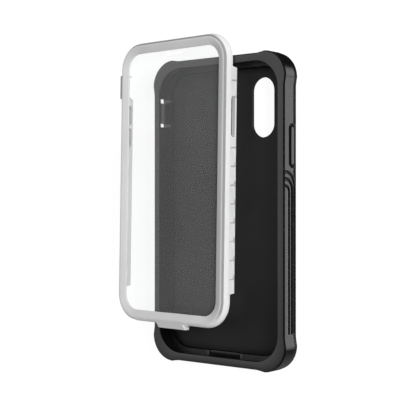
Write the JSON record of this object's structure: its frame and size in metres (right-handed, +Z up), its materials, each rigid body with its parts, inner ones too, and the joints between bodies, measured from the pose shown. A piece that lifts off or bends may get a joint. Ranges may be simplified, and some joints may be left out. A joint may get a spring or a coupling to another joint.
{
  "type": "full-body phone case",
  "caption": "Full-body phone case in two halves: a pale front frame with a clear screen film, taken off and laid askew on a black shock-absorbing rear shell that lies on its back.",
  "frame": {"origin": "middle of the rear shell's back face, on the surface that the case lies on", "axes": "+X to the right and +Y towards the top of the phone, both seen from the screen side; +Z up, out of the screen"},
  "size_m": [0.1101, 0.1684, 0.0186],
  "materials": {
    "frame_plastic": "pale grey satin moulded plastic",
    "clear_film": "clear, smooth film",
    "bumper_rubber": "black satin soft plastic",
    "back_plastic": "black fine-grained hard plastic"
  },
  "bodies": {
    "root": {"front_frame": "frame_plastic", "screen_film": "clear_film", "bumper": "bumper_rubber", "back_plate": "back_plastic"}
  },
  "joints": []
}
